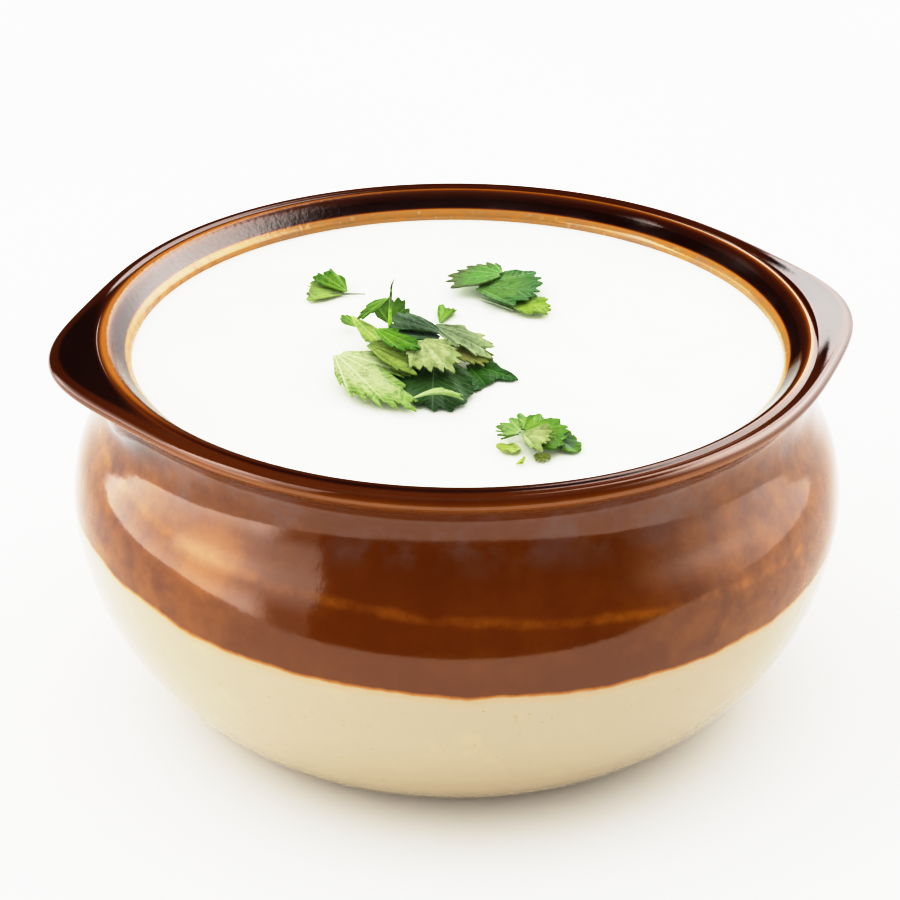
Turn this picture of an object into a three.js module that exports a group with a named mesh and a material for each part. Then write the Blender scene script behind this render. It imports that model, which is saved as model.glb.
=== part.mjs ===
// Bowl of raita: a glazed stoneware bowl with two small pointed ears, filled with yoghurt, and
// coriander leaves lying on it. Millimetres, +Z up. The origin is on the ground under the middle.
import * as THREE from "three";

// ---- Driving dimensions -------------------------------------------------------------------
const BASE_RADIUS = 39.5; // the flat ring that the bowl stands on
const BELLY_RADIUS = 60.2; // widest, at BELLY_HEIGHT
const BELLY_HEIGHT = 34;
const NECK_RADIUS = 54;
const NECK_HEIGHT = 53;
const FOOT_WIDTH = 4.2; // of the standing ring
const FOOT_DEPTH = 1.2; // how far the underside is let in
const WALL = 6.2; // at the belly
const FLOOR = 7; // top of the inside floor above the ground

const BEAD_RADIUS = 53.8; // the raised lip's crest line
const BEAD_TOP = 61.2;
const BEAD_ROUND = 1.1;
const ROLL_RADIUS = 56.3; // middle of the rolled outer edge, away from the ears
const ROLL_HEIGHT = 60.1;
const ROLL_ROUND = 1.15;
const GROOVE_RADIUS = 55.1; // the valley between the lip and the rolled edge
const GROOVE_HEIGHT = 60.5;
const LEDGE_RADIUS = 50.05; // inner edge of the step below the lip
const LEDGE_HEIGHT = 58.5;

// Each ear: where it points, in degrees from +X, and how far it pulls the rolled edge out.
const EARS = [
  { azimuth: 7.5, reach: 4.3 },
  { azimuth: 194.3, reach: 5.3 },
];
const EAR_HALF_ANGLE = 16.5; // degrees at which an ear has fallen to 1/e of its reach
const EAR_ROOT_HEIGHT = 47; // below this the wall is round again
const EAR_DISH = 0.7; // how far an ear's top dips between the lip and its edge

const RAITA_LEVEL = 56.8;
const RAITA_WAVE = 0.12; // height of the soft unevenness of its surface
const FIT_GAP = 0.3; // clearance kept between neighbouring pieces
const TURN_STEPS = 64;
const RAITA_TURN_STEPS = 48;

const LEAF_THICKNESS = 0.3;
const LEAF_GAP = 0.25; // between a leaf and what it lies on
const LEAF_WAVE = 0.12; // up and down along a leaf's outer edge
const STALK_END = 0.07; // where a leaf's blade begins, as a share of its length
const STALK = { at: [-10.3, -1.2], lean: [0.4, 0.3], bow: -0.35, height: 10.9, footRadius: 0.42, tipRadius: 0.18 };

// ---- Small helpers ------------------------------------------------------------------------
const rad = THREE.MathUtils.degToRad;
const clamp01 = (x) => THREE.MathUtils.clamp(x, 0, 1);
const smooth = (x) => THREE.MathUtils.smoothstep(x, 0, 1);
const point = (r, z) => new THREE.Vector2(r, z);

// Points of an arc in the profile plane, angles in degrees from outwards, turning to `to`.
function arc(radius, height, round, from, to, steps) {
  return Array.from({ length: steps + 1 }, (_, i) => {
    const a = rad(from + ((to - from) * i) / steps);
    return point(radius + round * Math.cos(a), height + round * Math.sin(a));
  });
}

// The difference of two azimuths in degrees, between -180 and 180.
function turnBetween(a, b) {
  return ((((a - b) % 360) + 540) % 360) - 180;
}

function earReach(azimuth) {
  return EARS.reduce((sum, ear) => {
    const off = turnBetween(azimuth, ear.azimuth) / EAR_HALF_ANGLE;
    return sum + ear.reach * Math.exp(-off * off);
  }, 0);
}

function lathe(profile, steps) {
  return new THREE.LatheGeometry(profile, steps).rotateX(Math.PI / 2);
}

// Moves every vertex of a geometry by a function of its place.
function reshape(geometry, move) {
  const at = geometry.getAttribute("position");
  const v = new THREE.Vector3();
  for (let i = 0; i < at.count; i++) {
    v.fromBufferAttribute(at, i);
    move(v);
    at.setXYZ(i, v.x, v.y, v.z);
  }
  return geometry;
}

// ---- Bowl ---------------------------------------------------------------------------------
function outerWall() {
  const curve = new THREE.SplineCurve([
    point(BASE_RADIUS, 0.5),
    point(BASE_RADIUS + 2.6, 1.9),
    point(46.4, 5),
    point(51.2, 10),
    point(55.9, 17),
    point(58.9, 25),
    point(BELLY_RADIUS, BELLY_HEIGHT),
    point(59.1, 41.5),
    point(56.2, 47),
    point(54.5, 50.5),
    point(NECK_RADIUS, NECK_HEIGHT),
    point(54.1, 55.6),
    point(54.9, 58.2),
  ]);
  return curve.getPoints(16);
}

// The inside wall below the step: it widens to the wall's thickness from the belly and rounds
// into the floor. `inset` moves it inwards and up.
function innerWall(inset) {
  const belly = BELLY_RADIUS - WALL - inset;
  const curve = new THREE.SplineCurve([
    point(LEDGE_RADIUS - inset, 55.2),
    point(LEDGE_RADIUS + 0.3 - inset, 50),
    point(LEDGE_RADIUS + 2.2 - inset, 44),
    point(belly, BELLY_HEIGHT),
    point(belly - 2, 24),
    point(46.4 - inset, 15),
    point(38 - inset, FLOOR + 2 + inset),
    point(27, FLOOR + 0.3 + inset),
  ]);
  return curve.getPoints(9);
}

function bowlProfile() {
  const footInner = BASE_RADIUS - 0.6 - FOOT_WIDTH;
  return [
    point(0, FOOT_DEPTH),
    point(footInner - 1.4, FOOT_DEPTH),
    point(footInner - 0.4, FOOT_DEPTH * 0.5),
    point(footInner, 0),
    point(BASE_RADIUS - 0.6, 0),
    ...outerWall(),
    ...arc(ROLL_RADIUS, ROLL_HEIGHT, ROLL_ROUND, -135, 135, 8),
    point(GROOVE_RADIUS, GROOVE_HEIGHT),
    ...arc(BEAD_RADIUS, BEAD_TOP - BEAD_ROUND, BEAD_ROUND, 30, 180, 5),
    point(LEDGE_RADIUS + 2.35, LEDGE_HEIGHT + 0.4),
    point(LEDGE_RADIUS + 1.8, LEDGE_HEIGHT - 0.05),
    point(LEDGE_RADIUS + 1.1, LEDGE_HEIGHT - 0.15),
    ...arc(LEDGE_RADIUS + 0.4, LEDGE_HEIGHT - 0.4, 0.4, 80, 180, 2),
    ...innerWall(0),
    point(0, FLOOR),
  ];
}

// How much of an ear's pull a point of the turned profile takes, from 0 to 1: all of it on the
// rolled edge, none at the lip, and less and less down the neck.
function earShare(radius, height) {
  if (radius < GROOVE_RADIUS - 0.2 && height > NECK_HEIGHT) {
    const flare = (height - EAR_ROOT_HEIGHT) / (ROLL_HEIGHT - EAR_ROOT_HEIGHT);
    return height < 59 && radius > NECK_RADIUS - 0.5 ? smooth(clamp01(flare)) ** 2 : 0;
  }
  if (height > GROOVE_HEIGHT - 0.3 && radius < ROLL_RADIUS - 0.2)
    return clamp01((radius - GROOVE_RADIUS) / (ROLL_RADIUS - ROLL_ROUND - GROOVE_RADIUS + 0.6));
  if (radius < NECK_RADIUS - 0.5) return 0;
  const rise = (height - EAR_ROOT_HEIGHT) / (ROLL_HEIGHT - ROLL_ROUND - EAR_ROOT_HEIGHT);
  return smooth(clamp01(rise)) ** 2;
}

function bowlGeometry() {
  return reshape(lathe(bowlProfile(), TURN_STEPS), (v) => {
    const radius = Math.hypot(v.x, v.y);
    const pull = earReach(THREE.MathUtils.radToDeg(Math.atan2(v.y, v.x)));
    const share = earShare(radius, v.z);
    if (radius < 1 || share === 0) return;
    const scale = (radius + pull * share) / radius;
    v.x *= scale;
    v.y *= scale;
    const dished = v.z > GROOVE_HEIGHT - 0.3 && radius < ROLL_RADIUS - 0.3;
    if (dished) v.z -= EAR_DISH * clamp01(pull / EARS[0].reach) * (1 - share);
  });
}

// ---- Raita --------------------------------------------------------------------------------
// The yoghurt's surface: nearly flat, with soft dents left by the spoon.
function raitaSurface(x, y) {
  const fade = 1 - smooth(clamp01((Math.hypot(x, y) - 40) / 9));
  const wave = Math.sin(x / 9 + 0.6) * Math.cos(y / 11 - 0.4) + 0.5 * Math.sin((x - y) / 6);
  return RAITA_LEVEL + RAITA_WAVE * wave * fade;
}

function raitaGeometry() {
  const wall = innerWall(FIT_GAP).reverse();
  const rim = LEDGE_RADIUS - FIT_GAP;
  const profile = [
    point(0, FLOOR + FIT_GAP),
    ...wall,
    point(rim, RAITA_LEVEL + 0.25),
    ...[0.975, 0.9, 0.78, 0.64, 0.5, 0.36, 0.22, 0.1, 0].map((f) => point(rim * f, RAITA_LEVEL)),
  ];
  return reshape(lathe(profile, RAITA_TURN_STEPS), (v) => {
    if (v.z === RAITA_LEVEL || Math.abs(v.z - RAITA_LEVEL) < 0.01) v.z = raitaSurface(v.x, v.y);
  });
}

// ---- Coriander ----------------------------------------------------------------------------
// A leaf is a fan of rays from its stalk end. `reach` gives, as shares of the length, how long
// the rays are that stand evenly over the angles of `spread`; teeth cut the outer edge.
function fanReach(leaf, share) {
  const step = share * (leaf.reach.length - 1);
  const low = Math.min(Math.floor(step), leaf.reach.length - 2);
  return THREE.MathUtils.lerp(leaf.reach[low], leaf.reach[low + 1], step - low);
}

// The middle surface of a leaf as rows of points, from the stalk end to the outer edge, with its
// stalk end at height 0.
function leafRows(leaf) {
  const { at, heading, length, spread, teeth, pitch, bite } = leaf;
  const { roll = 0, arch = 0, rings = 2, wave = LEAF_WAVE } = leaf;
  const rays = 2 * teeth;
  return Array.from({ length: rings + 1 }, (_, ring) =>
    Array.from({ length: rays + 1 }, (_, ray) => {
      const angle = THREE.MathUtils.lerp(spread[0], spread[1], ray / rays);
      const outer = fanReach(leaf, ray / rays) * (ray % 2 === 0 ? 1 - bite : 1);
      const out = THREE.MathUtils.lerp(STALK_END, outer, ring / rings) * length;
      const along = out * Math.cos(rad(angle));
      const across = out * Math.sin(rad(angle));
      const rise =
        along * Math.tan(rad(pitch)) +
        across * Math.tan(rad(roll)) +
        arch * Math.sin((Math.PI * along) / length) +
        wave * (ring / rings) * Math.sin(ray * 1.7 + length);
      const way = rad(heading + angle);
      return new THREE.Vector3(at[0] + out * Math.cos(way), at[1] + out * Math.sin(way), rise);
    }),
  );
}

// A thin solid with the given middle surface: both faces are split into triangles alike.
function sheetGeometry(rows, thickness) {
  const wide = rows[0].length;
  const faceSize = rows.length * wide;
  const flat = rows.flat();
  const positions = [
    ...flat.flatMap((p) => [p.x, p.y, p.z + thickness / 2]),
    ...flat.flatMap((p) => [p.x, p.y, p.z - thickness / 2]),
  ];
  const index = [];
  const quad = (a, b, c, d) => index.push(a, b, c, a, c, d);
  const at = (row, ray) => row * wide + ray;
  for (let row = 0; row + 1 < rows.length; row++)
    for (let ray = 0; ray + 1 < wide; ray++) {
      const corners = [at(row, ray), at(row + 1, ray), at(row + 1, ray + 1), at(row, ray + 1)];
      quad(...corners);
      const [a, b, c, d] = corners.map((i) => i + faceSize);
      index.push(a, c, b, a, d, c);
    }
  const edge = [];
  const top = rows.length - 1;
  for (let ray = 0; ray < wide - 1; ray++) edge.push(at(0, ray));
  for (let row = 0; row < top; row++) edge.push(at(row, wide - 1));
  for (let ray = wide - 1; ray > 0; ray--) edge.push(at(top, ray));
  for (let row = top; row > 0; row--) edge.push(at(row, 0));
  edge.forEach((a, i) => {
    const b = edge[(i + 1) % edge.length];
    quad(a, b, b + faceSize, a + faceSize);
  });
  const geometry = new THREE.BufferGeometry();
  geometry.setAttribute("position", new THREE.Float32BufferAttribute(positions, 3));
  geometry.setIndex(index);
  return geometry;
}

// The height of what lies in the bowl so far, in small square cells of this width.
const CELL = 0.5;
const heap = new Map();
const cellOf = (x, y) => Math.round(x / CELL) + "," + Math.round(y / CELL);
const heapTop = (x, y) => heap.get(cellOf(x, y)) ?? raitaSurface(x, y);

// Many points over a leaf, close enough to meet every cell that it covers.
function samples(rows) {
  const found = [];
  const steps = 5;
  const v = new THREE.Vector3();
  for (let row = 0; row + 1 < rows.length; row++)
    for (let ray = 0; ray + 1 < rows[0].length; ray++)
      for (let i = 0; i <= steps; i++)
        for (let j = 0; j <= steps; j++) {
          const near = v.clone().lerpVectors(rows[row][ray], rows[row][ray + 1], i / steps);
          const far = v.clone().lerpVectors(rows[row + 1][ray], rows[row + 1][ray + 1], i / steps);
          found.push(near.lerp(far, j / steps));
        }
  return found;
}

// Puts a leaf at its height above the yoghurt, or higher where it would meet what is under it.
function settle(rows, lift, thickness) {
  const dense = samples(rows);
  const clear = Math.max(...dense.map((p) => heapTop(p.x, p.y) - p.z)) + thickness / 2 + LEAF_GAP;
  const rise = Math.max(clear, RAITA_LEVEL + lift);
  rows.flat().forEach((p) => (p.z += rise));
  dense.forEach((p) => {
    const key = cellOf(p.x, p.y);
    const top = p.z + rise + thickness / 2;
    heap.set(key, Math.max(heap.get(key) ?? -Infinity, top));
  });
}

// Where each leaf's stalk end is, how high it lies, where it points and how it slopes, in
// millimetres and degrees. First the heap in the middle, lowest leaf first, then the loose ones.
const LEAVES = [
  { name: "leaf_right_dark", at: [1.3, -7.6], lift: 0.9, heading: -58, length: 9, pitch: -3,
    spread: [-28, 80], reach: [1, 0.84, 0.92, 0.5, 0.42], teeth: 4, bite: 0.02,
    colour: "#2c6a1f" },
  { name: "leaf_front_dark", at: [-3.7, -5.5], lift: 1.8, heading: -83, length: 16.4, pitch: -5,
    spread: [-45, 31], reach: [0.63, 0.71, 0.87, 0.98, 1, 0.81, 0.5], teeth: 6, bite: 0.02, rings: 4,
    arch: 0.3, colour: "#2f5a2b" },
  { name: "leaf_front_light", at: [-19, -7.1], lift: 2.6, heading: -57, length: 22, pitch: -4,
    spread: [-28, 50], reach: [0.4, 0.68, 0.84, 1, 0.6, 0.62, 0.42, 0.28], teeth: 10, bite: 0.13, rings: 4,
    arch: 0.3, colour: "#a9c86a" },
  { name: "leaf_front_curl", at: [-7, -21.4], lift: 1.4, heading: 4, length: 8.2, pitch: 0,
    spread: [-20, 14], reach: [0.9, 1, 0.9, 0.7, 0.55], teeth: 4, bite: 0.1, roll: -12, arch: 1.2,
    colour: "#b5cb7f" },
  { name: "leaf_spotted", at: [-1.6, -3.3], lift: 2.1, heading: -48, length: 6.5, pitch: -5,
    spread: [-30, 22], reach: [0.5, 0.78, 1, 0.95, 0.84], teeth: 4, bite: 0.08, colour: "#a9ad62" },
  { name: "leaf_crumpled", at: [-2.9, -0.2], lift: 3.5, heading: -38, length: 10.7, pitch: -8,
    spread: [-28, 35], reach: [0.5, 0.61, 1, 0.9, 0.8, 0.6, 0.36], teeth: 7, bite: 0.1, rings: 3,
    wave: 0.25, arch: 0.2, colour: "#8fa270" },
  { name: "leaf_yellowish", at: [-13, -7.2], lift: 3.4, heading: -42, length: 8.8, pitch: -4,
    spread: [-21, 56], reach: [0.62, 1, 0.88, 0.74, 0.62, 0.44, 0.22], teeth: 5, bite: 0.08,
    colour: "#9fb84a" },
  { name: "leaf_middle", at: [-5.7, -6.1], lift: 3.9, heading: -68, length: 9.9, pitch: -6,
    spread: [-47, 60], reach: [0.4, 0.87, 0.93, 1, 0.8, 0.5, 0.35], teeth: 8, bite: 0.12, rings: 3,
    arch: 0.3, colour: "#a8bb6b" },
  { name: "leaf_under_stem", at: [-15.7, 3.6], lift: 1.6, heading: 124, length: 3.8, pitch: 0,
    spread: [-16, 38], reach: [0.84, 1, 0.84, 0.6, 0.4], teeth: 3, bite: 0.05, colour: "#7fa838" },
  { name: "leaf_stemmed", at: [-16.9, 4.8], lift: 3.2, heading: -61, length: 12.7, pitch: -3,
    spread: [-14, 11], reach: [0.67, 0.75, 0.87, 0.95, 1, 0.93, 0.5], teeth: 5, bite: 0.04, rings: 3,
    colour: "#9ab84f" },
  { name: "leaf_bright", at: [-11.4, -4.7], lift: 4.8, heading: -47, length: 7.5, pitch: -3,
    spread: [-23, 36], reach: [0.55, 0.85, 0.98, 0.87, 0.48, 0.36], teeth: 5, bite: 0.08,
    colour: "#4e8f12" },
  { name: "leaf_blue_green", at: [-2.2, -3.1], lift: 2.8, heading: 173, length: 7.9, pitch: 4,
    spread: [-37, 36], reach: [0.35, 0.5, 0.73, 1, 0.76, 0.55, 0.45], teeth: 4, bite: 0.04, roll: 2,
    colour: "#4b7550" },
  { name: "leaf_back_dark", at: [-2.2, -3.2], lift: 3.6, heading: 152, length: 7.4, pitch: 4,
    spread: [-31, 29], reach: [0.35, 0.8, 0.91, 1, 0.86, 0.86, 0.3], teeth: 5, bite: 0.06, roll: -2,
    colour: "#2c4f30" },
  { name: "leaf_behind_stalk", at: [-10.8, 5], lift: 1.5, heading: 66, length: 3, pitch: 40,
    spread: [-64, 80], reach: [1, 0.86, 0.95, 0.86, 0.95, 0.95, 0.7], teeth: 4, bite: 0.06,
    wave: 0.08, colour: "#3f7a14" },
  { name: "leaf_folded", at: [-10.6, 2.6], lift: 6.6, heading: -171, length: 4.3, pitch: -34,
    spread: [-38, 56], reach: [0.56, 0.84, 0.9, 1, 0.8, 0.52, 0.36], teeth: 4, bite: 0.08, wave: 0.08,
    colour: "#3f7a16" },
  { name: "leaf_square", at: [-2.8, 7.4], lift: 0.4, heading: 77, length: 6.4, pitch: 0,
    spread: [-30, 19], reach: [0.3, 0.52, 0.56, 0.8, 1, 0.95], teeth: 4, bite: 0.06,
    colour: "#6fa01e" },
  { name: "leaf_back_sliver", at: [3.3, 17], lift: 0.3, heading: -41, length: 7.4, pitch: 0,
    spread: [-8, 10], reach: [0.7, 1, 0.85, 0.5], teeth: 2, bite: 0.04, colour: "#b6cf9a" },
  { name: "leaf_back_yellow", at: [8.4, 13.6], lift: 0.4, heading: -24, length: 7, pitch: 0,
    spread: [-52, 68], reach: [0.45, 0.66, 1, 0.92, 0.82, 0.82, 0.5], teeth: 6, bite: 0.08, arch: 0.2,
    colour: "#95b832" },
  { name: "leaf_back_right", at: [2.6, 18.9], lift: 1, heading: -7, length: 11.4, pitch: 0,
    spread: [-62, 54], reach: [0.4, 0.77, 0.85, 0.83, 0.88, 0.92, 0.66], teeth: 6, bite: 0.04, rings: 3,
    arch: 0.2, colour: "#4d8a35" },
  { name: "leaf_back_frond", at: [7.4, 22.2], lift: 1.6, heading: -177, length: 9.6, pitch: -2,
    spread: [-86, 49], reach: [0.38, 0.5, 0.6, 0.74, 0.93, 1, 0.5], teeth: 8, bite: 0.16,
    colour: "#5c9a30" },
  { name: "leaf_left_light", at: [-17.9, 18.9], lift: 0.4, heading: 174, length: 7.1, pitch: 1,
    spread: [-30, 48], reach: [0.92, 0.93, 0.87, 0.8, 0.86, 1, 0.6], teeth: 4, bite: 0.05,
    colour: "#a3bf55" },
  { name: "leaf_left_dark", at: [-17.7, 17.7], lift: 1, heading: 121, length: 8.2, pitch: 4,
    spread: [-23, 34], reach: [0.5, 1, 0.94, 0.94, 0.66], teeth: 4, bite: 0.05, colour: "#4d8a18" },
  { name: "leaf_left_thread", at: [-17.1, 18.4], lift: 0.4, heading: 1, length: 3, pitch: 0,
    spread: [-6, 6], reach: [1, 1], teeth: 1, bite: 0, wave: 0, colour: "#8f9a80" },
  { name: "leaf_near_yellow", at: [9.2, -34.9], lift: 0.4, heading: -179, length: 3.6, pitch: 0,
    spread: [-48, 60], reach: [0.5, 0.65, 1, 0.88, 0.8, 0.55, 0.42], teeth: 4, bite: 0.08,
    colour: "#b3c84e" },
  { name: "leaf_near_tip", at: [11.4, -36.2], lift: 0.3, heading: -71, length: 2.6, pitch: 0,
    spread: [-41, 42], reach: [0.6, 0.8, 1, 1, 0.92, 0.8], teeth: 3, bite: 0.08, wave: 0.08,
    colour: "#9db45e" },
  { name: "leaf_near_point", at: [14.4, -31.6], lift: 0.5, heading: -53, length: 5.4, pitch: 0,
    spread: [-29, 94], reach: [0.76, 0.95, 0.84, 0.56, 0.46, 0.42, 0.45], teeth: 4, bite: 0.03,
    colour: "#4f7d3c" },
  { name: "leaf_near_top", at: [9.3, -30.5], lift: 1.1, heading: -19, length: 8.6, pitch: 0,
    spread: [-62, 117], reach: [0.6, 0.92, 0.76, 0.75, 0.64, 0.58, 0.58], teeth: 8, bite: 0.04, rings: 3,
    arch: 0.2, colour: "#5d9620" },
  { name: "leaf_near_frond", at: [9.2, -32.4], lift: 1.7, heading: 138, length: 6, pitch: -4,
    spread: [-42, 84], reach: [1, 0.78, 0.72, 0.62, 0.57, 0.56, 0.58], teeth: 6, bite: 0.26,
    colour: "#84ad4a" },
  { name: "leaf_near_pale", at: [9.3, -32.7], lift: 1.9, heading: -49, length: 6.2, pitch: -1,
    spread: [-37, 74], reach: [0.74, 1, 0.8, 0.75, 0.7, 0.7, 0.66], teeth: 6, bite: 0.1, wave: 0.2,
    arch: 0.2, colour: "#b4bf78" },
  { name: "leaf_near_crumb", at: [8.2, -39.5], lift: 0.3, heading: 40, length: 2.2, pitch: 0,
    spread: [-44, 12], reach: [0.4, 0.5, 0.7, 1], teeth: 2, bite: 0.06, wave: 0.08, colour: "#b9cf4a" },
];

// The one stalk that stands up out of the heap, with its foot on the yoghurt.
function stalkGeometry() {
  const { at, lean, bow, height, footRadius, tipRadius } = STALK;
  const foot = raitaSurface(...at) + FIT_GAP;
  const upright = new THREE.CylinderGeometry(tipRadius, footRadius, height, 6, 8).rotateX(Math.PI / 2);
  return reshape(upright, (v) => {
    const share = v.z / height + 0.5;
    v.x += at[0] + lean[0] * share + bow * Math.sin(Math.PI * share);
    v.y += at[1] + lean[1] * share;
    v.z += foot + height / 2;
  });
}

// ---- The whole ----------------------------------------------------------------------------
function named(name, geometry, colour, roughness) {
  const material = new THREE.MeshStandardMaterial({ color: colour, roughness, metalness: 0 });
  const mesh = new THREE.Mesh(geometry, material);
  mesh.name = name;
  return mesh;
}

const group = new THREE.Group();
group.add(named("bowl", bowlGeometry(), "#5e2606", 0.12));
group.add(named("raita", raitaGeometry(), "#fcfdf8", 0.35));
for (const leaf of LEAVES) {
  const rows = leafRows(leaf);
  settle(rows, leaf.lift, LEAF_THICKNESS);
  group.add(named(leaf.name, sheetGeometry(rows, LEAF_THICKNESS), leaf.colour, 0.5));
}
group.add(named("stalk", stalkGeometry(), "#8fc43a", 0.5));

export default group;
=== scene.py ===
"""Bowl of raita: a glazed stoneware bowl with two small pointed ears, filled with yoghurt, with
coriander leaves lying on it. Laid out as an add-on: one operator for each kind of piece."""

import math

import bpy
from mathutils import Matrix, Vector


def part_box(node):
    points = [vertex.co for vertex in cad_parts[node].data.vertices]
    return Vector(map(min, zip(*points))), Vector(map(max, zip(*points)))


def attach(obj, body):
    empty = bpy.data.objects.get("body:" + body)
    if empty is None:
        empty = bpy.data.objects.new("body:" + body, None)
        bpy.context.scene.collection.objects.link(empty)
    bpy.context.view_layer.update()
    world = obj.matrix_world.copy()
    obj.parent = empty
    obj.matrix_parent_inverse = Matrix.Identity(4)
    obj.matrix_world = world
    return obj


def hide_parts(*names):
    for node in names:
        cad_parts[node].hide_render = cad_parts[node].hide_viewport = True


bl_info = {
    "name": "Bowl of Raita",
    "version": (1, 0, 0),
    "blender": (4, 5, 0),
    "location": "View3D > Sidebar > Raita",
    "description": "Builds a glazed bowl of yoghurt with coriander on its packed frame",
    "category": "Add Mesh",
}

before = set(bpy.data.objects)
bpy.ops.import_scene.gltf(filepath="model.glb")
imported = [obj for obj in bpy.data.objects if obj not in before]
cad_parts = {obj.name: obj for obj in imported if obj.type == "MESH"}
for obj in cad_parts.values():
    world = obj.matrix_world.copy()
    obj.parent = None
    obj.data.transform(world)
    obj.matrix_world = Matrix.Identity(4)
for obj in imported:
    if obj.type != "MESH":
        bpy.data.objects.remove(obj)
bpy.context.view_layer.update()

# ---- Sizes, in millimetres unless said otherwise --------------------------------------------
MM = 0.001
BELLY_RADIUS = 60.2
BELLY_HEIGHT = 34.0
WALL = 6.2
FLOOR = 7.0
LEDGE_RADIUS = 50.05
GROOVE = (55.1, 60.93)     # radius and height
ROLL = (56.3, 60.1, 1.15)  # radius and height of its centre, and its own radius
RAITA_LEVEL = 56.8
LEAF_LIGHT = 1.35  # light on the leaves as a multiple of their base colour, found by trial
STALK_END = 0.07  # where a leaf's blade begins, as a share of its length

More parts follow.
